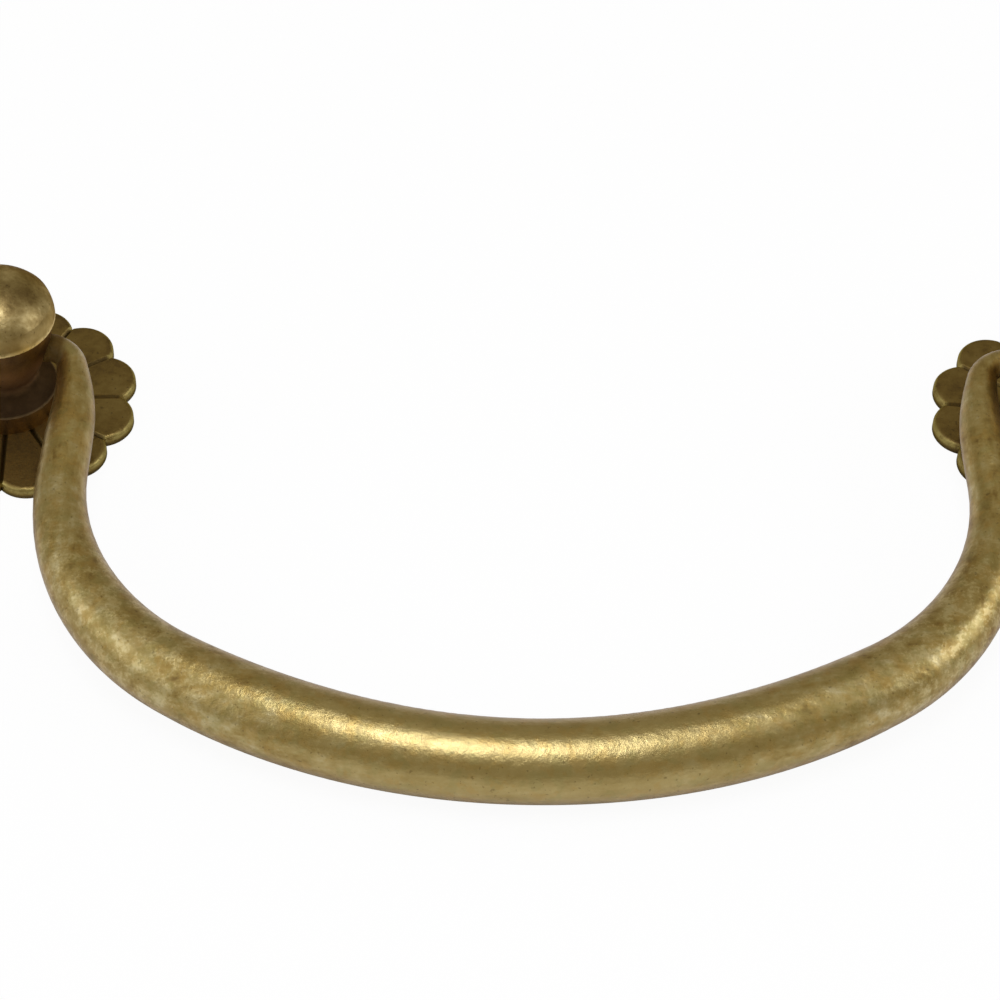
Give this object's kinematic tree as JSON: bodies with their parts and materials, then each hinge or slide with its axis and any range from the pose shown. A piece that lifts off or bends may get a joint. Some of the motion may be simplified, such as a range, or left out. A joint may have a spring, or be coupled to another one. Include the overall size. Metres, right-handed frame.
{
  "type": "cabinet handle",
  "caption": "Drop-bail cabinet handle: a curved, tapering bail swings between turned posts with domed heads, each standing on a petalled rosette.",
  "frame": {"origin": "on the mounting face, midway between the two screw holes", "axes": "+X along the grip from the left post to the right one, +Z out of the drawer front along the posts, and the bail lies towards -Y"},
  "size_m": [0.119, 0.0569, 0.0156],
  "materials": {
    "bail": "aged, mottled, rubbed bright along the grip",
    "posts": "aged, dark in the stem, rubbed bright on the dome",
    "rosettes": "aged, dark olive brown with lighter petal edges"
  },
  "bodies": {
    "posts": {"post_left": "posts", "post_right": "posts", "rosette_left": "rosettes", "rosette_right": "rosettes"},
    "bail": {"bail": "bail"}
  },
  "joints": [
    {"name": "bail_swing", "type": "hinge", "parent": "posts", "child": "bail", "pos_m": [0, 0, 0.0077], "axis": [-1, 0, 0], "range_deg": [0, 191.4]}
  ]
}
